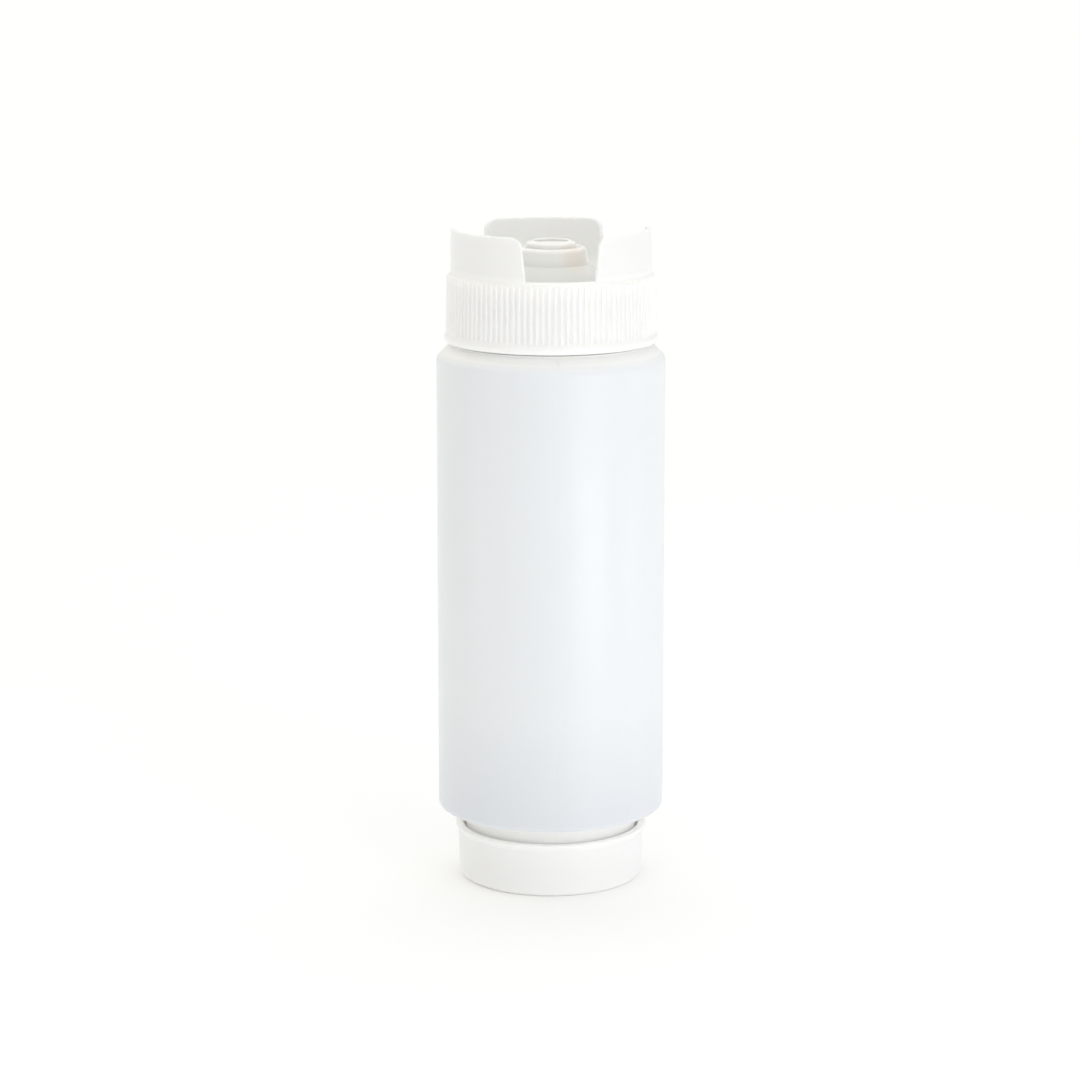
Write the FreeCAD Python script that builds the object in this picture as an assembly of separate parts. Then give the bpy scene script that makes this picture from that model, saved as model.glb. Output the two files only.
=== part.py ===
import FreeCAD, Part
import math
import os

# Two-ended squeeze bottle for sauces, empty and standing on its refill cap.
# Bottom to top: refill cap, foot neck, straight body, short shoulder, top
# neck, and the dispensing cap with its ribbed collar, nozzle, slit valve and
# a crown of three tabs on which the closed bottle can also stand upside down.
# Millimetres, +Z up, origin at the centre of the flat base of the refill cap.

V = FreeCAD.Vector

# ---- blow-moulded body ----
body_d = 66.7              # outside diameter of the straight wall
body_h = 134.6             # underside of the body to the start of the shoulder
body_wall = 1.2            # wall of the body, shoulder and underside
underside_round = 1.5      # rounding between the wall and the underside
shoulder_h = 3.8           # height of the sloping shoulder
shoulder_inset = 3.85      # how far the shoulder brings the wall in
shoulder_round = 2.4       # rounding between the wall and the shoulder
neck_wall = 1.6            # wall of both necks
lip_round = 0.3            # rounding on the lips of both necks

# ---- top neck, inside the collar ----
ring_h = 0.5               # plain ring that shows under the collar
neck_step = 1.6            # ring to neck
top_neck_h = 16.1          # top of the shoulder to the lip

# ---- foot neck, inside the refill cap ----
foot_inset = 8.15          # how far the foot neck stands in from the body wall
foot_neck_h = 19.2         # lip to the underside of the body
foot_fillet = 0.8          # hollow between the underside and the foot neck

# ---- refill cap ----
refill_h = 15.9            # base to rim
refill_floor = 2.0         # thickness of the floor, on which the lip seats
refill_room = 0.5          # foot neck to the bore at the floor, radial
refill_bore_draft = 0.4    # opening-out of the bore up to the rim
refill_wall = 1.35         # wall just above the base rounding
refill_draft = 0.5         # opening-out of the wall up to the flare
refill_base_round = 1.6    # rounding of the base edge
refill_bore_round = 0.3    # hollow where the bore meets the floor
flare_h = 2.1              # height of the flared rim
flare_out = 0.75           # how far the rim flares out
flare_land = 0.9           # upright band at the top of the flare
rim_round = 0.35           # rounding of the rim's two edges

# ---- collar of the dispensing cap ----
collar_clear = 0.9         # top of the shoulder to the collar's lower edge
thread_room = 0.8          # top neck to the collar's bore, radial
collar_wall = 1.3          # wall between the ribs at the top of the collar
collar_draft = 0.25        # opening-out of the collar towards its lower edge
collar_h = 18.8            # lower edge to the top of the ribs
bead_h = 3.3               # smooth bead along the lower edge
bead_out = 0.95            # how far the bead stands out from between the ribs
bead_edge_in = 0.45        # how far the bead draws in at the lower edge
bead_round = 0.8           # rounding of the bead
edge_round = 0.4           # rounding of the collar's lower edge
rib_count = 108            # grip ribs round the collar
rib_depth = 0.35           # height of a rib
rib_foot_part = 0.72       # share of the pitch that a rib's foot takes
rib_crest_part = 0.34      # share of the pitch that a rib's crest takes
rib_run_out = 0.8          # height over which a rib runs out at its top
step_h = 1.4               # slope between the collar and the crown

# ---- crown of three tabs ----
crown_inset = 0.8          # collar between its ribs to the crown's outside
crown_wall = 1.5           # wall of the tabs
crown_draft = 0.1          # extra wall at the foot of the tabs
crown_taper = 0.25         # how far the tabs draw in up to their tops
crown_h = 12.5             # floor of the gaps to the top of the tabs
tab_count = 3
gap_foot_w = 19.6          # width of a gap at its floor
gap_top_w = 22.0           # width of a gap at the top, before its corners
gap_corner = 3.3           # rounding of the tabs' upper corners
tab_edge_round = 0.5       # rounding along the tops and sides of the tabs
gap_direction = -90.0      # direction of the first gap, degrees from +X

# ---- deck, cone and nozzle ----
deck_wall = 1.8            # thickness of the deck on the neck's lip
deck_drop = 3.3            # floor of the gaps down to the deck
deck_fillet = 0.8          # hollow where the deck meets the crown
cone_h = 5.5               # height of the cone above the deck
cone_run = 5.5             # how far the cone draws in
cone_wall = 1.6            # wall of the cone
nozzle_foot_d = 21.8       # nozzle where it leaves the cone
nozzle_top_d = 20.4        # nozzle under its rounded edge
nozzle_h = 4.8             # cone to the top plate
nozzle_edge_round = 1.3    # rounding of the nozzle's upper edge
nozzle_plate = 1.6         # thickness of the top plate, which the valve meets
nozzle_wall = 1.5          # wall of the nozzle round the valve's flange
mouth_ring_d = 14.6        # raised ring round the mouth
mouth_ring_h = 2.0         # height of the ring over the top plate
mouth_ring_slope = 0.8     # fall of the ring's top from the mouth to its outer edge
mouth_ring_round = 0.5     # rounding of the ring's outer edge
mouth_inner_round = 0.35   # rounding of the ring's inner edge
mouth_d = 10.2             # the mouth itself
snap_bead = 0.5            # how far the bead under the flange stands in
snap_bead_h = 0.5          # upright height of that bead
snap_bead_slope = 0.6      # height of its sloping underside
bore_relief = 0.3          # widening of the bore under the bead

# ---- slit valve ----
flange_t = 1.5             # thickness of the valve's flange
flange_room = 0.3          # flange to the nozzle's bore, radial
head_room = 0.4            # head to the mouth, radial
head_below = 0.9           # rim of the head down from the top of the ring
head_skin = 0.9            # thickness of the slit skin
dish_depth = 0.9           # depth of the dish in the head
dish_rim = 0.6             # flat rim round the dish
slit_l = 6.4               # length of each of the two crossed slits
slit_w = 0.3               # width of a slit

# ---- heights and radii that follow from the sizes above ----
body_r = body_d / 2
foot_r = body_r - foot_inset
foot_lip_z = refill_floor
body_z = foot_lip_z + foot_neck_h
shoulder_z = body_z + body_h
shoulder_top_z = shoulder_z + shoulder_h
ring_r = body_r - shoulder_inset
neck_r = ring_r - neck_step
lip_z = shoulder_top_z + top_neck_h

collar_z = shoulder_top_z + collar_clear
collar_bore_r = neck_r + thread_room
collar_top_z = collar_z + collar_h
collar_top_r = collar_bore_r + collar_wall
collar_foot_r = collar_top_r + collar_draft
bead_top_z = collar_z + bead_h

deck_under_z = lip_z
deck_z = deck_under_z + deck_wall
gap_z = deck_z + deck_drop
crown_r = collar_top_r - crown_inset
crown_in_r = crown_r - crown_wall
crown_top_z = gap_z + crown_h

cone_top_z = deck_z + cone_h
nozzle_foot_r = nozzle_foot_d / 2
nozzle_top_r = nozzle_top_d / 2
nozzle_top_z = cone_top_z + nozzle_h
plate_under_z = nozzle_top_z - nozzle_plate
mouth_top_z = nozzle_top_z + mouth_ring_h
flange_bore_r = nozzle_top_r - nozzle_wall
flange_z = plate_under_z - flange_t


def rounded_loop(corners):
    """Closed wire in the XZ plane through corners (radius, height, rounding)."""
    count = len(corners)
    starts = []
    ends = []
    arcs = []
    for i in range(count):
        x, z, rounding = corners[i]
        before = corners[i - 1]
        after = corners[(i + 1) % count]
        here = V(x, 0, z)
        to_before = (V(before[0], 0, before[1]) - here).normalize()
        to_after = (V(after[0], 0, after[1]) - here).normalize()
        if rounding <= 0:
            starts.append(here)
            ends.append(here)
            arcs.append(None)
            continue
        half = to_before.getAngle(to_after) / 2
        reach = rounding / math.tan(half)
        bisector = (to_before + to_after).normalize()
        middle = here + bisector * (rounding / math.sin(half) - rounding)
        start = here + to_before * reach
        end = here + to_after * reach
        starts.append(start)
        ends.append(end)
        arcs.append(Part.Arc(start, middle, end).toShape())
    edges = []
    for i in range(count):
        if arcs[i] is not None:
            edges.append(arcs[i])
        line_start = ends[i]
        line_end = starts[(i + 1) % count]
        if line_start.distanceToPoint(line_end) > 1e-6:
            edges.append(Part.makeLine(line_start, line_end))
    return Part.Wire(edges)


def turned(corners):
    """Solid of revolution about Z of a rounded profile."""
    face = Part.Face(rounded_loop(corners))
    return face.revolve(V(0, 0, 0), V(0, 0, 1), 360)


def make_bottle():
    """Hollow body with a neck at each end."""
    inner_r = body_r - body_wall
    neck_in_r = neck_r - neck_wall
    foot_in_r = foot_r - neck_wall
    slope = shoulder_h / shoulder_inset
    turn = math.atan2(shoulder_inset, shoulder_h)
    inner_shoulder_z = shoulder_z - body_wall * math.tan(turn / 2)
    inner_neck_z = inner_shoulder_z + (inner_r - neck_in_r) * slope
    return turned([
        (foot_r, foot_lip_z, lip_round),
        (foot_r, body_z, foot_fillet),
        (body_r, body_z, underside_round),
        (body_r, shoulder_z, shoulder_round),
        (ring_r, shoulder_top_z, 0),
        (ring_r, shoulder_top_z + ring_h, lip_round / 2),
        (neck_r, shoulder_top_z + ring_h, 0),
        (neck_r, lip_z, lip_round),
        (neck_in_r, lip_z, lip_round),
        (neck_in_r, inner_neck_z, 0),
        (inner_r, inner_shoulder_z, shoulder_round - body_wall),
        (inner_r, body_z + body_wall, lip_round),
        (foot_in_r, body_z + body_wall, foot_fillet),
        (foot_in_r, foot_lip_z, lip_round),
    ])


def make_refill_cap():
    """Smooth cup that closes the foot neck and carries the bottle."""
    bore_r = foot_r + refill_room
    bore_rim_r = bore_r + refill_bore_draft
    wall_r = bore_r + refill_wall
    under_flare_r = wall_r + refill_draft
    rim_r = under_flare_r + flare_out
    return turned([
        (0, 0, 0),
        (wall_r, 0, refill_base_round),
        (under_flare_r, refill_h - flare_h, 0),
        (rim_r, refill_h - flare_land, rim_round),
        (rim_r, refill_h, rim_round),
        (bore_rim_r, refill_h, rim_round),
        (bore_r, refill_floor, refill_bore_round),
        (0, refill_floor, 0),
    ])


def rib_loop(valley_r, crest_r, height):
    """Closed wire of straight edges round all ribs at one height."""
    pitch = 360.0 / rib_count
    foot = rib_foot_part / 2
    crest = rib_crest_part / 2
    points = []
    for i in range(rib_count):
        for share, radius in ((-foot, valley_r), (-crest, crest_r), (crest, crest_r), (foot, valley_r)):
            angle = math.radians(gap_direction + (i + share) * pitch)
            points.append(V(radius * math.cos(angle), radius * math.sin(angle), height))
    points.append(points[0])
    return Part.makePolygon(points)


def make_ribs():
    """Grip ribs, with the wall behind them, from the bead to their run-out."""
    under = rib_depth / 3
    low = rib_loop(collar_foot_r - under, collar_foot_r + rib_depth, bead_top_z - bead_h / 2)
    high = rib_loop(collar_top_r - under, collar_top_r + rib_depth, collar_top_z)
    out_r = collar_top_r - crown_inset * rib_run_out / step_h
    end = rib_loop(out_r - under, out_r - under / 3, collar_top_z + rib_run_out)
    core = Part.makeCylinder(collar_bore_r + collar_wall / 2, collar_h + step_h, V(0, 0, collar_z))
    return Part.makeLoft([low, high, end], True, True).cut(core)


def gap_cutter(direction):
    """Prism that opens one gap between two tabs, with straight leaning sides."""
    half_foot = gap_foot_w / 2
    lean = (gap_top_w - gap_foot_w) / 2 / crown_h
    near = nozzle_foot_r + cone_run
    far = crown_r + crown_wall
    rise = crown_h + crown_wall
    half_high = half_foot + rise * lean
    corners = [
        V(near, -half_foot, gap_z),
        V(near, half_foot, gap_z),
        V(near, half_high, gap_z + rise),
        V(near, -half_high, gap_z + rise),
    ]
    prism = Part.Face(Part.makePolygon(corners + corners[:1])).extrude(V(far - near, 0, 0))
    prism.rotate(V(0, 0, 0), V(0, 0, 1), direction)
    return prism


def on_cone(spot, radius_of):
    """Whether a point lies on the cone whose radius at a height is given."""
    return abs(math.hypot(spot.x, spot.y) - radius_of(spot.z)) < 1e-3


def crown_outside(z):
    """Radius of the crown's outside at a height."""
    foot_z = collar_top_z + step_h
    return crown_r - crown_taper * (z - foot_z) / (crown_top_z - foot_z)


def crown_inside(z):
    """Radius of the crown's inside at a height."""
    share = (z - deck_z) / (crown_top_z - deck_z)
    return crown_in_r - crown_draft + (crown_draft - crown_taper) * share


def spots_on(edge):
    """Three points spread along an edge."""
    length = edge.LastParameter - edge.FirstParameter
    return [edge.valueAt(edge.FirstParameter + length * share) for share in (0.1, 0.5, 0.9)]


def round_tabs(cap):
    """The cap with its tabs' upper corners and then their edges rounded."""
    corners = []
    for edge in cap.Edges:
        spots = spots_on(edge)
        level = all(abs(spot.z - crown_top_z) < 1e-3 for spot in spots)
        if level and not any(on_cone(spot, crown_outside) or on_cone(spot, crown_inside) for spot in spots):
            corners.append(edge)
    cap = cap.makeFillet(gap_corner, corners)
    edges = []
    for edge in cap.Edges:
        spots = spots_on(edge)
        if min(spot.z for spot in spots) < gap_z + 0.1:
            continue
        outside = all(on_cone(spot, crown_outside) for spot in spots)
        inside = all(on_cone(spot, crown_inside) for spot in spots)
        seam = edge.Length > 1 and all(abs(spot.y) < 1e-3 and spot.x > 0 for spot in spots)
        if (outside or inside) and not seam:
            edges.append(edge)
    return cap.makeFillet(tab_edge_round, edges)


def make_crown_cap():
    """Dispensing cap in one piece: collar, crown, deck, cone and nozzle."""
    cone_foot_r = nozzle_foot_r + cone_run
    cone_angle = math.atan2(cone_h, cone_run)
    cone_shift = cone_wall / math.sin(cone_angle)
    cone_slope = cone_run / cone_h
    under_r = cone_foot_r - cone_shift + deck_wall * cone_slope
    relief_r = flange_bore_r + bore_relief
    relief_z = deck_z + (cone_foot_r - cone_shift - relief_r) / cone_slope
    snap_r = flange_bore_r - snap_bead
    snap_z = flange_z - snap_bead_h
    mouth_r = mouth_d / 2
    ring_out_r = mouth_ring_d / 2
    bead_r = collar_foot_r + bead_out
    cap = turned([
        (collar_bore_r, collar_z, edge_round / 2),
        (bead_r - bead_edge_in, collar_z, edge_round),
        (bead_r, collar_z + bead_h * 0.42, bead_round),
        (collar_foot_r, bead_top_z, 0),
        (collar_top_r, collar_top_z, 0),
        (crown_r, collar_top_z + step_h, 0),
        (crown_r - crown_taper, crown_top_z, 0),
        (crown_in_r - crown_taper, crown_top_z, 0),
        (crown_in_r - crown_draft, deck_z, deck_fillet),
        (cone_foot_r, deck_z, 0),
        (nozzle_foot_r, cone_top_z, 0),
        (nozzle_top_r, nozzle_top_z, nozzle_edge_round),
        (ring_out_r, nozzle_top_z, 0),
        (ring_out_r, mouth_top_z - mouth_ring_slope, mouth_ring_round),
        (mouth_r, mouth_top_z, mouth_inner_round),
        (mouth_r, plate_under_z, 0),
        (flange_bore_r, plate_under_z, 0),
        (flange_bore_r, flange_z, 0),
        (snap_r, flange_z, 0),
        (snap_r, snap_z, 0),
        (relief_r, snap_z - snap_bead_slope, 0),
        (relief_r, relief_z, 0),
        (under_r, deck_under_z, 0),
        (collar_bore_r, deck_under_z, 0),
    ])
    cap.rotate(V(0, 0, 0), V(0, 0, 1), gap_direction)
    cap = cap.fuse(make_ribs())
    for i in range(tab_count):
        cap = cap.cut(gap_cutter(gap_direction + i * 360.0 / tab_count))
    return round_tabs(cap)


def make_valve():
    """Soft dished valve with two crossed slits, its flange under the plate."""
    mouth_r = mouth_d / 2
    head_r = mouth_r - head_room
    flange_r = flange_bore_r - flange_room
    head_z = mouth_top_z - head_below
    skin_r = head_r - head_skin
    dish_r = head_r - dish_rim
    dish_curve = (dish_r ** 2 + dish_depth ** 2) / (2 * dish_depth)
    valve = turned([
        (0, flange_z, 0),
        (flange_r, flange_z, 0),
        (flange_r, plate_under_z, 0),
        (head_r, plate_under_z, 0),
        (head_r, head_z, dish_rim / 3),
        (0, head_z, 0),
    ])
    upper = Part.makeSphere(dish_curve, V(0, 0, head_z - dish_depth + dish_curve))
    under_curve = dish_curve + head_skin
    below = Part.makeCylinder(skin_r, head_z - flange_z, V(0, 0, flange_z))
    below = below.cut(Part.makeSphere(under_curve, V(0, 0, head_z - dish_depth + dish_curve)))
    valve = valve.cut(upper).cut(below)
    for i in range(2):
        slit = Part.makeBox(slit_l, slit_w, head_z - flange_z, V(-slit_l / 2, -slit_w / 2, flange_z))
        slit.rotate(V(0, 0, 0), V(0, 0, 1), i * 90)
        valve = valve.cut(slit)
    return valve


def main():
    os.makedirs("parts", exist_ok=True)
    nodes = {
        "bottle": make_bottle(),
        "crown_cap": make_crown_cap(),
        "valve": make_valve(),
        "refill_cap": make_refill_cap(),
    }
    for name, shape in nodes.items():
        solids = shape.Solids
        if len(solids) == 1:
            shape = solids[0]
        shape.exportStep("parts/" + name + ".step")


main()
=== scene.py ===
import math

import bmesh
import bpy
from mathutils import Matrix, Vector


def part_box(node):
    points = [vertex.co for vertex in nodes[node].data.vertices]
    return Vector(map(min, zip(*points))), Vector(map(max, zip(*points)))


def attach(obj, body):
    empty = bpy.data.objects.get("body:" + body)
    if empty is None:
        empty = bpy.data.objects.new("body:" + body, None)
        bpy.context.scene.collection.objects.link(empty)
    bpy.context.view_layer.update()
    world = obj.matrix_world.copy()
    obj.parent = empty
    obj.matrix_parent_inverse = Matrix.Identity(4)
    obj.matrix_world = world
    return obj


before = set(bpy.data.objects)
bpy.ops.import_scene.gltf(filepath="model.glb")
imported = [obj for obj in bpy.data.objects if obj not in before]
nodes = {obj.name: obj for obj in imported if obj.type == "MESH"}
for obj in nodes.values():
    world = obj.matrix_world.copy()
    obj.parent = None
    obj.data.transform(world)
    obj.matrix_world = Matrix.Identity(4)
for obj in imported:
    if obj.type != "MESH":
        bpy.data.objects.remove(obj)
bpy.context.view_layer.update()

# The squeeze bottle stands on its refill cap, with its axis on Z and the
# front gap of the crown towards -Y. Everything is in metres.

MM = 0.001

# ---- places on the bottle, from the lips and the wall of its body ----
bottle_low, bottle_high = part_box("bottle")
BODY_RADIUS = bottle_high.x
TOP_LIP = bottle_high.z
FOOT_LIP = bottle_low.z
CROWN_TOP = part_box("crown_cap")[1].z
FOOT_NECK_HEIGHT = 19.2 * MM
FOOT_NECK_INSET = 8.15 * MM
TOP_NECK_HEIGHT = 16.1 * MM
TOP_NECK_STEP = 1.6 * MM
THREAD_ROOM = 0.8 * MM
SHOULDER_HEIGHT = 3.8 * MM
SHOULDER_INSET = 3.85 * MM
BODY_FOOT = FOOT_LIP + FOOT_NECK_HEIGHT
SHOULDER_TOP = TOP_LIP - TOP_NECK_HEIGHT
SHOULDER_FOOT = SHOULDER_TOP - SHOULDER_HEIGHT
SHOULDER_SLOPE = math.atan2(SHOULDER_HEIGHT, SHOULDER_INSET)
RING_RADIUS = BODY_RADIUS - SHOULDER_INSET
TOP_NECK_RADIUS = RING_RADIUS - TOP_NECK_STEP
COLLAR_BORE_RADIUS = TOP_NECK_RADIUS + THREAD_ROOM
FOOT_NECK_RADIUS = BODY_RADIUS - FOOT_NECK_INSET

# ---- threads ----
THREAD_HEIGHT = 0.42 * MM
THREAD_FOOT = 1.5 * MM
THREAD_CREST = 0.5 * MM
THREAD_PITCH = 4.2 * MM
THREAD_STEPS = 64          # steps to one turn
THREAD_SINK = 0.05 * MM    # how far a thread is let into its wall
TOP_THREAD_START = TOP_LIP - 10.3 * MM
TOP_THREAD_TURNS = 1.75
FOOT_THREAD_START = FOOT_LIP + 2.6 * MM
FOOT_THREAD_TURNS = 1.5
MERGE_DISTANCE = 1e-7

# ---- parting line of the blown body ----
PARTING_X = -0.9 * MM
PARTING_WIDTH = 0.4 * MM
PARTING_HEIGHT = 0.05 * MM
PARTING_RUN = 2.6 * MM     # length of the ridge down the shoulder
PARTING_START = 0.3 * MM   # how far out and down from the ring's foot it starts
PARTING_CREST = 0.35       # share of the ridge's width that its crest keeps
PARTING_LEVEL = 0.8        # share of the ridge's length that its crest keeps
PARTING_CORE = 0.3         # share of the line's width that stands at full height
PARTING_SHADE = (0.93, 0.94, 0.945)
PARTING_LIGHT = (0.95, 0.96, 0.965)

# ---- milky plastic of the body ----
MILK_SHADE = (0.816, 0.84, 0.874)
MILK_LIGHT = (0.831, 0.855, 0.889)
CLOUD_SHARE = 0.75         # clouds in the milk; the rest is streaks
# painted shade: this grey darkens the body towards its foot, where less light comes through
HEEL_PAINTED_SHADE = (0.74, 0.765, 0.81)
HEEL_HEIGHT = 34.0 * MM    # height over which the painted shade of the foot runs out
HEEL_SHADE_SHARE = 0.85
# painted light: this white lifts the shade at the necks and the shoulder, around the gaps there
NECK_PAINTED_LIGHT = (0.96, 0.965, 0.965)
NECK_REACH = BODY_RADIUS - 1.85 * MM
NECK_FADE = 1.0 * MM

# ---- white plastic of the caps ----
CROWN_LIGHT = (0.93, 0.93, 0.922)
CROWN_SHADE = (0.92, 0.92, 0.912)
REFILL_LIGHT = (0.988, 0.98, 0.955)
REFILL_SHADE = (0.978, 0.968, 0.94)
# painted shade: this dimmer white darkens the tabs, which would catch too much light from above
TAB_PAINTED_SHADE = (0.852, 0.853, 0.852)
TAB_FOOT = CROWN_TOP - 13.3 * MM
TAB_FADE = 2.5 * MM
# painted shade: the cone deep between the tabs is greyed, paling up the nozzle
CONE_PAINTED_SHADE = (0.69, 0.695, 0.675)
NOZZLE_PAINTED_SHADE = (0.85, 0.85, 0.835)
CONE_REACH = 17.0 * MM
CONE_FADE = 1.5 * MM
CONE_FOOT = CROWN_TOP - 16.3 * MM
CONE_FOOT_FADE = (-0.5 * MM, 0.3 * MM)
CONE_TO_NOZZLE = 8.0 * MM
NOZZLE_GLOSS = 0.14        # how much less rough the thin cone and nozzle are
GLINT_TONE = (0.86, 0.79, 0.72)
GLINT_PLACE = (6.5 * MM, -8.0 * MM, CROWN_TOP - 7.8 * MM)
GLINT_SIZE = 6.5 * MM
GLINT_CORE = 0.35          # share of its size that the glint keeps in full
GLINT_SHARE = 0.6

# ---- silicone of the valve ----
SILICONE_SHADE = (0.74, 0.73, 0.69)
SILICONE_LIGHT = (0.82, 0.81, 0.78)

# ---- light in plastics ----
POLYETHYLENE_IOR = 1.5
SILICONE_IOR = 1.41
NOISE_LOW, NOISE_HIGH = 0.3, 0.7   # between these lies most of a noise

# ---- view ----
VIEW_AZIMUTH = math.radians(-5.5)
VIEW_ELEVATION = math.radians(11.71)
VIEW_DISTANCE = 1.0
VIEW_HEIGHT = 0.1011
VIEW_ASIDE = -3.19 * MM
VIEW_LENS = 113.3
VIEW_SENSOR = 36.0
VIEW_NEAR, VIEW_FAR = 0.05, 50.0

# ---- studio ----
FLOOR_SIZE = 60.0
FLOOR_SHADE = (0.955, 0.959, 0.968)
FLOOR_LIGHT = (0.96, 0.964, 0.973)
ROOM_LEFT = (1.0, 0.98, 0.915)
ROOM_RIGHT = (0.985, 0.995, 1.0)
# Each side of the room: the direction it lies in, and its strength.
ROOM_SIDES = (
    ((0.0, -1.0, 0.0), 0.3),
    ((0.0, 1.0, 0.0), 0.7),
    ((0.0, 0.0, 1.0), 1.26),
    ((-1.0, 0.0, 0.0), 0.06),
)
LAMP_CENTRE = Vector((0.0, 0.0, 0.1))
WINDOW_AWAY = 1.0
STRIP_AWAY = 0.42
STRIP_ELEVATION = -11.5
# Each lamp: azimuth and elevation in degrees, distance, width and height,
# power in watts, and colour. Azimuth 0 is in front and turns to the right.
LAMPS = {
    "window_front": (29, 10, WINDOW_AWAY, (0.4, 0.8), 0.93, (1.0, 1.0, 1.0)),
    "window_right": (49, 10, WINDOW_AWAY, (0.12, 0.8), 0.3, (0.98, 0.99, 1.0)),
    "table_glow": (34, STRIP_ELEVATION, STRIP_AWAY, (0.24, 0.025), 0.17, (1.0, 1.0, 1.0)),
    "low_left": (-80, STRIP_ELEVATION, STRIP_AWAY, (0.1, 0.025), 0.04, (1.0, 0.99, 0.96)),
    "low_right": (80, STRIP_ELEVATION, STRIP_AWAY, (0.1, 0.025), 0.03, (1.0, 1.0, 1.0)),
}
LIGHT_BOUNCES = 12         # light passes through the milky walls many times


# ---------------------------------------------------------------- materials

class Finish:
    """Node tree of one material, built up step by step."""

    def __init__(self, name):
        self.material = bpy.data.materials.new(name)
        self.material.use_nodes = True
        self.tree = self.material.node_tree
        self.tree.nodes.clear()
        self.output = self.add("ShaderNodeOutputMaterial")
        self.shader = self.add("ShaderNodeBsdfPrincipled")
        self.join(self.shader.outputs["BSDF"], self.output.inputs["Surface"])
        self.place = self.add("ShaderNodeTexCoord").outputs["Object"]

    def add(self, kind, **settings):
        node = self.tree.nodes.new(kind)
        for key, value in settings.items():
            setattr(node, key, value)
        return node

    def join(self, start, end):
        self.tree.links.new(start, end)

    def stretched(self, scale):
        """Places on the object, stretched along an axis where its scale is under 1."""
        node = self.add("ShaderNodeMapping")
        node.inputs["Scale"].default_value = scale
        self.join(self.place, node.inputs["Vector"])
        return node.outputs["Vector"]

    def noise(self, vector, scale, detail):
        node = self.add("ShaderNodeTexNoise")
        node.inputs["Scale"].default_value = scale
        node.inputs["Detail"].default_value = detail
        self.join(vector, node.inputs["Vector"])
        return node.outputs["Fac"]

    def ranged(self, value, low, high, out_low, out_high):
        """The value, carried over from one range to another and kept within it."""
        node = self.add("ShaderNodeMapRange")
        node.inputs["From Min"].default_value = low
        node.inputs["From Max"].default_value = high
        node.inputs["To Min"].default_value = out_low
        node.inputs["To Max"].default_value = out_high
        self.join(value, node.inputs["Value"])
        return node.outputs["Result"]

    def spread(self, noise, least=0.0, most=1.0):
        """The noise, spread from least to most."""
        return self.ranged(noise, NOISE_LOW, NOISE_HIGH, least, most)

    def math(self, operation, first, second=None):
        node = self.add("ShaderNodeMath", operation=operation)
        for socket, value in zip(node.inputs, (first, second)):
            if value is None:
                continue
            if isinstance(value, (int, float)):
                socket.default_value = value
            else:
                self.join(value, socket)
        return node.outputs["Value"]

    def blend(self, share, first, second):
        """Mix of two colours; each is a colour or a socket."""
        node = self.add("ShaderNodeMix", data_type="RGBA")
        self.join(share, node.inputs["Factor"])
        for name, value in (("A", first), ("B", second)):
            socket = [s for s in node.inputs if s.name == name and s.type == "RGBA"][0]
            if isinstance(value, tuple):
                socket.default_value = (*value, 1.0)
            else:
                self.join(value, socket)
        return [s for s in node.outputs if s.type == "RGBA"][0]

    def bump(self, height, distance, strength, over=None):
        """Relief of this height in metres, laid over another relief."""
        node = self.add("ShaderNodeBump")
        node.inputs["Distance"].default_value = distance
        node.inputs["Strength"].default_value = strength
        self.join(height, node.inputs["Height"])
        if over is not None:
            self.join(over, node.inputs["Normal"])
        return node.outputs["Normal"]

    def axes(self):
        node = self.add("ShaderNodeSeparateXYZ")
        self.join(self.place, node.inputs["Vector"])
        return node.outputs["X"], node.outputs["Y"], node.outputs["Z"]

    def reach(self, x, y):
        """Distance from the bottle's axis."""
        squares = self.math("ADD", self.math("MULTIPLY", x, x), self.math("MULTIPLY", y, y))
        return self.math("SQRT", squares)

    def distance(self, spot):
        node = self.add("ShaderNodeVectorMath", operation="DISTANCE")
        node.inputs[1].default_value = spot
        self.join(self.place, node.inputs[0])
        return node.outputs["Value"]

    def surface(self, colour, roughness, relief):
        """Gives the shader its colour, roughness and relief."""
        self.join(colour, self.shader.inputs["Base Color"])
        self.join(roughness, self.shader.inputs["Roughness"])
        self.join(relief, self.shader.inputs["Normal"])

    def scatter(self, ior, weight, radius, scale):
        """Sets how light goes through the plastic."""
        shader = self.shader.inputs
        shader["IOR"].default_value = ior
        shader["Subsurface Weight"].default_value = weight
        shader["Subsurface Radius"].default_value = radius
        shader["Subsurface Scale"].default_value = scale


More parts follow.
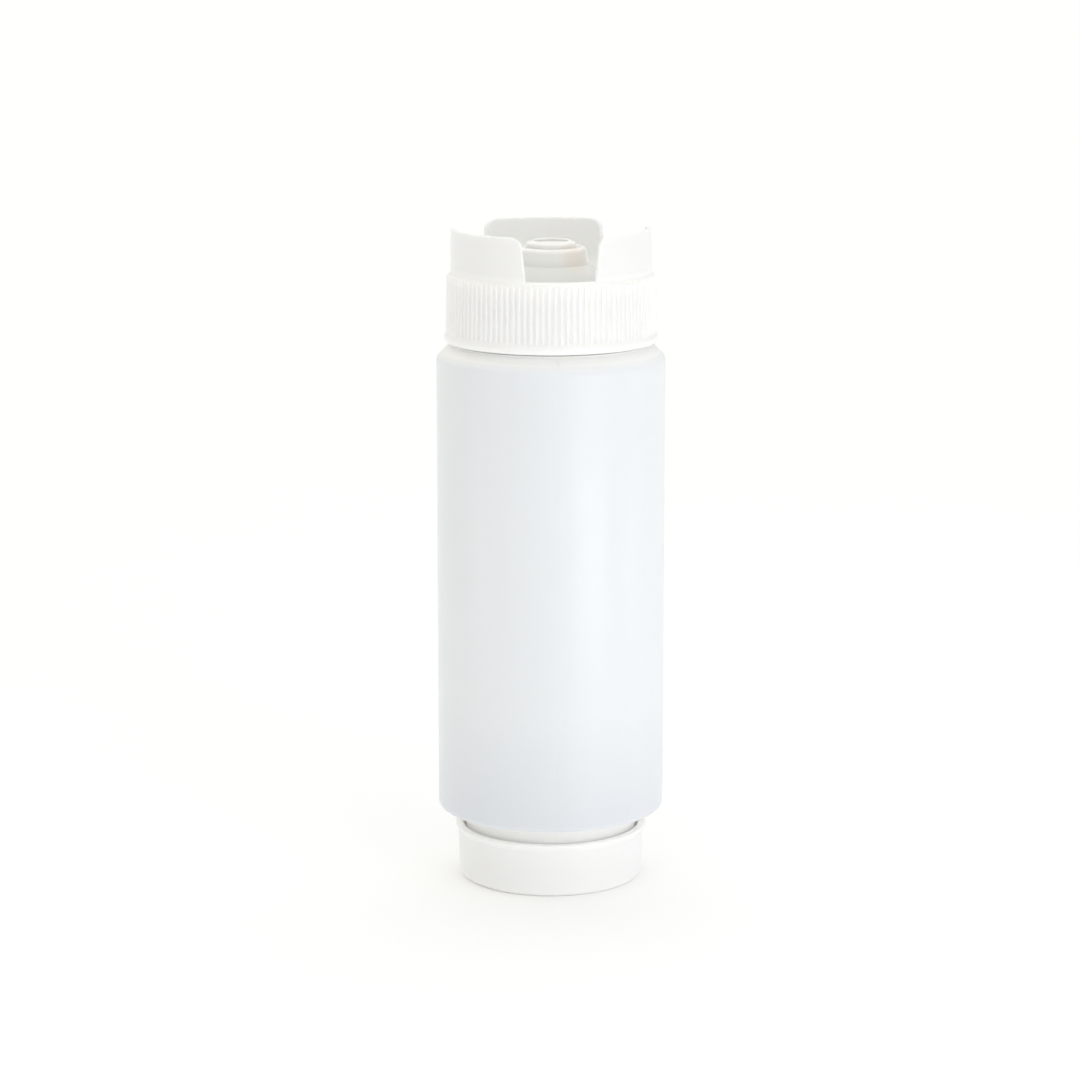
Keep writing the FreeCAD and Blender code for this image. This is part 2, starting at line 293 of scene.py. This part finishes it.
def translucent_body():
    """Milky blown polyethylene, with painted shade greying it towards its foot and painted light
    whitening its necks and shoulder.
    """
    finish = Finish("body_blown_polyethylene")
    x, y, z = finish.axes()
    clouds = finish.noise(finish.stretched((1.0, 1.0, 0.25)), scale=55.0, detail=3.0)
    streaks = finish.noise(finish.stretched((1.0, 1.0, 0.03)), scale=420.0, detail=2.0)
    tone = finish.math("ADD", finish.math("MULTIPLY", clouds, CLOUD_SHARE),
                       finish.math("MULTIPLY", streaks, 1.0 - CLOUD_SHARE))
    milk = finish.blend(finish.spread(tone), MILK_SHADE, MILK_LIGHT)
    # painted shade greys the body towards its foot
    foot = finish.ranged(z, BODY_FOOT, BODY_FOOT + HEEL_HEIGHT, HEEL_SHADE_SHARE, 0.0)
    heel = finish.blend(foot, milk, HEEL_PAINTED_SHADE)
    # painted light whitens the plastic near the axis and from the shoulder up
    inside = finish.ranged(finish.reach(x, y), NECK_REACH, NECK_REACH + NECK_FADE, 1.0, 0.0)
    above = finish.ranged(z, SHOULDER_FOOT, SHOULDER_TOP, 0.0, 1.0)
    colour = finish.blend(finish.math("MAXIMUM", inside, above), heel, NECK_PAINTED_LIGHT)
    rough = finish.spread(finish.noise(finish.place, scale=90.0, detail=4.0), least=0.3, most=0.38)
    aside = finish.math("ABSOLUTE", finish.math("SUBTRACT", x, PARTING_X))
    line = finish.ranged(aside, PARTING_WIDTH * PARTING_CORE, PARTING_WIDTH, 1.0, 0.0)
    seam = finish.bump(line, distance=PARTING_HEIGHT, strength=0.6)
    skin = finish.noise(finish.place, scale=700.0, detail=2.0)
    peel = finish.bump(skin, distance=0.02 * MM, strength=0.5, over=seam)
    waves = finish.bump(clouds, distance=0.25 * MM, strength=0.5, over=peel)
    finish.surface(colour, rough, waves)
    finish.scatter(POLYETHYLENE_IOR, weight=1.0, radius=(1.0, 1.0, 1.05), scale=1.1 * MM)
    return finish.material


def parting_line_plastic():
    """Dense plastic of the parting line, which is too fine to scatter light."""
    finish = Finish("parting_line_polyethylene")
    tone = finish.spread(finish.noise(finish.place, scale=300.0, detail=2.0))
    finish.join(finish.blend(tone, PARTING_SHADE, PARTING_LIGHT), finish.shader.inputs["Base Color"])
    finish.shader.inputs["Roughness"].default_value = 0.4
    return finish.material


def thin_shaded_cone(finish, x, y, z):
    """Share of the cone and nozzle, where the crown cap is thinner, clearer and glossier, and greyed
    with painted shade.
    """
    low, high = CONE_FOOT_FADE
    near = finish.ranged(finish.reach(x, y), CONE_REACH, CONE_REACH + CONE_FADE, 1.0, 0.0)
    above = finish.ranged(z, CONE_FOOT + low, CONE_FOOT + high, 0.0, 1.0)
    return finish.math("MULTIPLY", near, above)


def crown_colour(finish, white, thin_and_shaded, z):
    """The cap's white, with painted shade dimming the tabs and greying the cone and nozzle, and a
    painted warm glint.
    """
    # painted shade dims the tabs
    tabs = finish.ranged(z, TAB_FOOT, TAB_FOOT + TAB_FADE, 0.0, 1.0)
    colour = finish.blend(tabs, white, TAB_PAINTED_SHADE)
    # painted shade greys the cone, paling up the nozzle
    up = finish.ranged(z, CONE_FOOT, CONE_FOOT + CONE_TO_NOZZLE, 0.0, 1.0)
    colour = finish.blend(thin_and_shaded, colour, finish.blend(up, CONE_PAINTED_SHADE, NOZZLE_PAINTED_SHADE))
    glint = finish.distance(GLINT_PLACE)
    warm = finish.ranged(glint, GLINT_SIZE * GLINT_CORE, GLINT_SIZE, GLINT_SHARE, 0.0)
    return finish.blend(finish.math("MULTIPLY", warm, thin_and_shaded), colour, GLINT_TONE)


def moulded_cap(name, light, shade, nozzle=False):
    """White injection-moulded polyethylene with faint flow marks; with the nozzle, also painted shade on
    the tabs and cone and a painted glint.
    """
    finish = Finish(name)
    x, y, z = finish.axes()
    flow = finish.noise(finish.stretched((1.0, 1.0, 0.35)), scale=120.0, detail=3.0)
    colour = finish.blend(finish.spread(flow), shade, light)
    rough = finish.spread(finish.noise(finish.place, scale=160.0, detail=4.0), least=0.28, most=0.38)
    if nozzle:
        thin_and_shaded = thin_shaded_cone(finish, x, y, z)
        colour = crown_colour(finish, colour, thin_and_shaded, z)
        rough = finish.math("SUBTRACT", rough, finish.math("MULTIPLY", thin_and_shaded, NOZZLE_GLOSS))
    skin = finish.noise(finish.place, scale=1500.0, detail=2.0)
    grain = finish.bump(skin, distance=0.01 * MM, strength=0.5)
    dips = finish.noise(finish.place, scale=60.0, detail=1.0)
    sinks = finish.bump(dips, distance=0.15 * MM, strength=0.4, over=grain)
    finish.surface(colour, rough, sinks)
    finish.scatter(POLYETHYLENE_IOR, weight=1.0, radius=(1.0, 0.98, 0.93), scale=1.5 * MM)
    return finish.material


def soft_valve():
    """Milky silicone, smooth and slightly glossy."""
    finish = Finish("valve_milky_silicone")
    cloud = finish.noise(finish.place, scale=260.0, detail=3.0)
    colour = finish.blend(finish.spread(cloud), SILICONE_SHADE, SILICONE_LIGHT)
    relief = finish.bump(cloud, distance=0.05 * MM, strength=0.4)
    finish.surface(colour, finish.spread(cloud, least=0.2, most=0.3), relief)
    finish.scatter(SILICONE_IOR, weight=0.5, radius=(1.0, 0.95, 0.85), scale=2.0 * MM)
    return finish.material


def pale_table():
    """Matt white table top."""
    finish = Finish("pale_table")
    tone = finish.spread(finish.noise(finish.place, scale=3.0, detail=2.0))
    finish.join(finish.blend(tone, FLOOR_SHADE, FLOOR_LIGHT), finish.shader.inputs["Base Color"])
    finish.shader.inputs["Roughness"].default_value = 0.9
    finish.shader.inputs["Specular IOR Level"].default_value = 0.1
    return finish.material


# ------------------------------------------------------------------- pieces

def dress(piece, material):
    """The piece wears this material in every slot."""
    if not piece.material_slots:
        piece.data.materials.append(material)
    for slot in piece.material_slots:
        slot.material = material


def new_object(name, shape, material):
    """Object at the origin from a finished bmesh."""
    mesh = bpy.data.meshes.new(name)
    shape.to_mesh(mesh)
    shape.free()
    made = bpy.data.objects.new(name, mesh)
    bpy.context.scene.collection.objects.link(made)
    dress(made, material)
    return made


def new_piece(name, shape, material):
    """Piece of the bottle from a finished bmesh, riding on the bottle."""
    piece = new_object(name, shape, material)
    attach(piece, "root")


def thread(name, radius, start, turns, outward, material):
    """Helical ridge on a neck (outward) or in a bore (inward)."""
    side = 1.0 if outward else -1.0
    foot = radius - side * THREAD_SINK
    crest = radius + side * THREAD_HEIGHT
    section = (
        (foot, -THREAD_FOOT / 2),
        (crest, -THREAD_CREST / 2),
        (crest, THREAD_CREST / 2),
        (foot, THREAD_FOOT / 2),
    )
    shape = bmesh.new()
    corners = [shape.verts.new((r, 0.0, start + z)) for r, z in section]
    face = shape.faces.new(corners)
    bmesh.ops.spin(
        shape,
        geom=[face, *face.edges, *face.verts],
        cent=(0.0, 0.0, 0.0),
        axis=(0.0, 0.0, 1.0),
        dvec=(0.0, 0.0, THREAD_PITCH / THREAD_STEPS),
        angle=math.tau * turns,
        steps=round(THREAD_STEPS * turns),
        use_duplicate=False,
    )
    bmesh.ops.remove_doubles(shape, verts=shape.verts[:], dist=MERGE_DISTANCE)
    bmesh.ops.recalc_face_normals(shape, faces=shape.faces[:])
    new_piece(name, shape, material)


def parting_ridge(name, behind, material):
    """Fine raised line where the mould halves met, down the shoulder's front or back."""
    shape = bmesh.new()
    bmesh.ops.create_cube(shape, size=1.0)
    bmesh.ops.scale(shape, vec=(PARTING_WIDTH, PARTING_RUN, PARTING_HEIGHT * 2), verts=shape.verts[:])
    upper = [v for v in shape.verts if v.co.z > 0]
    bmesh.ops.scale(shape, vec=(PARTING_CREST, PARTING_LEVEL, 1.0), verts=upper)
    bmesh.ops.translate(shape, vec=(0.0, -PARTING_RUN / 2, 0.0), verts=shape.verts[:])
    slope = Matrix.Rotation(SHOULDER_SLOPE, 3, "X")
    bmesh.ops.rotate(shape, cent=(0.0, 0.0, 0.0), matrix=slope, verts=shape.verts[:])
    out = math.sqrt(RING_RADIUS ** 2 - PARTING_X ** 2) + PARTING_START
    bmesh.ops.translate(shape, vec=(PARTING_X, -out, SHOULDER_TOP - PARTING_START), verts=shape.verts[:])
    if behind:
        bmesh.ops.scale(shape, vec=(1.0, -1.0, 1.0), verts=shape.verts[:])
    bmesh.ops.recalc_face_normals(shape, faces=shape.faces[:])
    new_piece(name, shape, material)


body_plastic = translucent_body()
parting_plastic = parting_line_plastic()
crown_plastic = moulded_cap("crown_cap_polyethylene", CROWN_LIGHT, CROWN_SHADE, nozzle=True)
refill_plastic = moulded_cap("refill_cap_polyethylene", REFILL_LIGHT, REFILL_SHADE)
valve_silicone = soft_valve()

dress(nodes["bottle"], body_plastic)
dress(nodes["crown_cap"], crown_plastic)
dress(nodes["refill_cap"], refill_plastic)
dress(nodes["valve"], valve_silicone)

thread("top_neck_thread", TOP_NECK_RADIUS, TOP_THREAD_START, TOP_THREAD_TURNS, True,
       body_plastic)
thread("collar_thread", COLLAR_BORE_RADIUS, TOP_THREAD_START - THREAD_PITCH / 2, TOP_THREAD_TURNS, False,
       crown_plastic)
thread("foot_neck_thread", FOOT_NECK_RADIUS, FOOT_THREAD_START, FOOT_THREAD_TURNS, True,
       body_plastic)
parting_ridge("shoulder_seam_front", False, parting_plastic)
parting_ridge("shoulder_seam_back", True, parting_plastic)


# ------------------------------------------------------------------- studio

def studio_floor():
    """Wide pale table top."""
    shape = bmesh.new()
    bmesh.ops.create_grid(shape, x_segments=1, y_segments=1, size=FLOOR_SIZE)
    new_object("studio_floor", shape, pale_table())


def away_from(azimuth, elevation):
    """Unit vector out from the bottle, azimuth 0 in front and turning right."""
    level = math.cos(elevation)
    return Vector((math.sin(azimuth) * level, -math.cos(azimuth) * level, math.sin(elevation)))


def softbox(name, azimuth, elevation, distance, size, power, colour):
    """Area light that faces the bottle."""
    away = away_from(math.radians(azimuth), math.radians(elevation))
    lamp = bpy.data.lights.new(name, "AREA")
    lamp.shape = "RECTANGLE"
    lamp.size, lamp.size_y = size
    lamp.energy = power
    lamp.color = colour
    light = bpy.data.objects.new(name, lamp)
    light.location = LAMP_CENTRE + away * distance
    light.rotation_mode = "QUATERNION"
    light.rotation_quaternion = (-away).to_track_quat("-Z", "Y")
    bpy.context.scene.collection.objects.link(light)


def room_glow(tree, place):
    """Strength of the room's light in each direction, as the sum of its sides."""
    glow = None
    for direction, strength in ROOM_SIDES:
        facing = tree.nodes.new("ShaderNodeVectorMath")
        facing.operation = "DOT_PRODUCT"
        facing.inputs[1].default_value = direction
        tree.links.new(place, facing.inputs[0])
        share = tree.nodes.new("ShaderNodeMapRange")
        share.inputs["To Max"].default_value = strength
        tree.links.new(facing.outputs["Value"], share.inputs["Value"])
        if glow is None:
            glow = share.outputs["Result"]
            continue
        both = tree.nodes.new("ShaderNodeMath")
        tree.links.new(glow, both.inputs[0])
        tree.links.new(share.outputs["Result"], both.inputs[1])
        glow = both.outputs["Value"]
    return glow


def room_colour(tree, place):
    """Warmer light from the left, cooler from the right."""
    axes = tree.nodes.new("ShaderNodeSeparateXYZ")
    tree.links.new(place, axes.inputs["Vector"])
    across = tree.nodes.new("ShaderNodeMapRange")
    across.inputs["From Min"].default_value = -1.0
    tree.links.new(axes.outputs["X"], across.inputs["Value"])
    sides = tree.nodes.new("ShaderNodeValToRGB")
    sides.color_ramp.elements[0].color = (*ROOM_LEFT, 1.0)
    sides.color_ramp.elements[1].color = (*ROOM_RIGHT, 1.0)
    tree.links.new(across.outputs["Result"], sides.inputs["Fac"])
    return sides.outputs["Color"]


def pale_room():
    """Pale room, lighter above and behind, whose backdrop looks white from every side."""
    world = bpy.data.worlds.new("pale_room")
    world.use_nodes = True
    tree = world.node_tree
    place = tree.nodes.new("ShaderNodeTexCoord").outputs["Generated"]
    seen = tree.nodes.new("ShaderNodeMath")
    seen.operation = "MAXIMUM"
    tree.links.new(room_glow(tree, place), seen.inputs[0])
    tree.links.new(tree.nodes.new("ShaderNodeLightPath").outputs["Is Camera Ray"], seen.inputs[1])
    background = tree.nodes["Background"]
    tree.links.new(seen.outputs["Value"], background.inputs["Strength"])
    tree.links.new(room_colour(tree, place), background.inputs["Color"])
    bpy.context.scene.world = world


def view_camera():
    """Long lens, a little above the bottle and slightly to its left."""
    back = away_from(VIEW_AZIMUTH, VIEW_ELEVATION)
    right = Vector((math.cos(VIEW_AZIMUTH), math.sin(VIEW_AZIMUTH), 0.0))
    data = bpy.data.cameras.new("view")
    data.lens = VIEW_LENS
    data.sensor_width = VIEW_SENSOR
    data.clip_start = VIEW_NEAR
    data.clip_end = VIEW_FAR
    camera = bpy.data.objects.new("view", data)
    camera.location = Vector((0.0, 0.0, VIEW_HEIGHT)) + right * VIEW_ASIDE + back * VIEW_DISTANCE
    camera.rotation_mode = "QUATERNION"
    camera.rotation_quaternion = (-back).to_track_quat("-Z", "Y")
    bpy.context.scene.collection.objects.link(camera)
    bpy.context.scene.camera = camera


studio_floor()
pale_room()
for lamp_name, settings in LAMPS.items():
    softbox(lamp_name, *settings)
view_camera()
bpy.context.scene.view_settings.view_transform = "Standard"
bpy.context.scene.cycles.diffuse_bounces = LIGHT_BOUNCES
